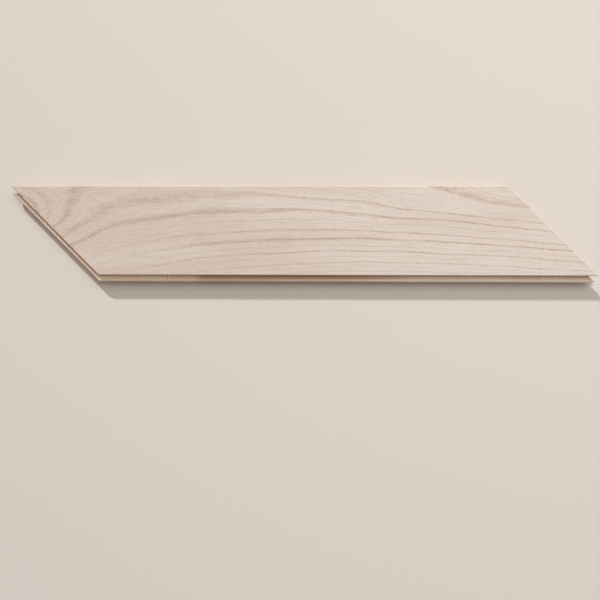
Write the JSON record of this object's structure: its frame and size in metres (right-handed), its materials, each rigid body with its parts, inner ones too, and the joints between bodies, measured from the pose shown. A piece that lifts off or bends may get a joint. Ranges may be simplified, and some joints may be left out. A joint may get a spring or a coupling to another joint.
{
  "type": "chevron wood floor plank",
  "caption": "Chevron floor plank with slanted ends: an oak face on a cross-grained softwood core, tongue and groove all round, relief kerfs across the back.",
  "frame": {"origin": "middle of the plank on its underside", "axes": "+X along the plank from the tongued end to the grooved end, +Y from the tongued long edge to the grooved one, +Z out of the oak face"},
  "size_m": [0.6004, 0.0975, 0.014],
  "materials": {
    "oak_face": "pale limed oak, brushed, dead matt",
    "softwood": "raw sawn softwood, grain across the plank",
    "backing": "raw peeled veneer, grain along the plank"
  },
  "bodies": {
    "root": {"oak_wear_layer": "oak_face", "softwood_core": "softwood", "backing_strip_1": "backing", "backing_strip_2": "backing", "backing_strip_3": "backing", "backing_strip_4": "backing", "backing_strip_5": "backing", "backing_strip_6": "backing", "backing_strip_7": "backing"}
  },
  "joints": []
}
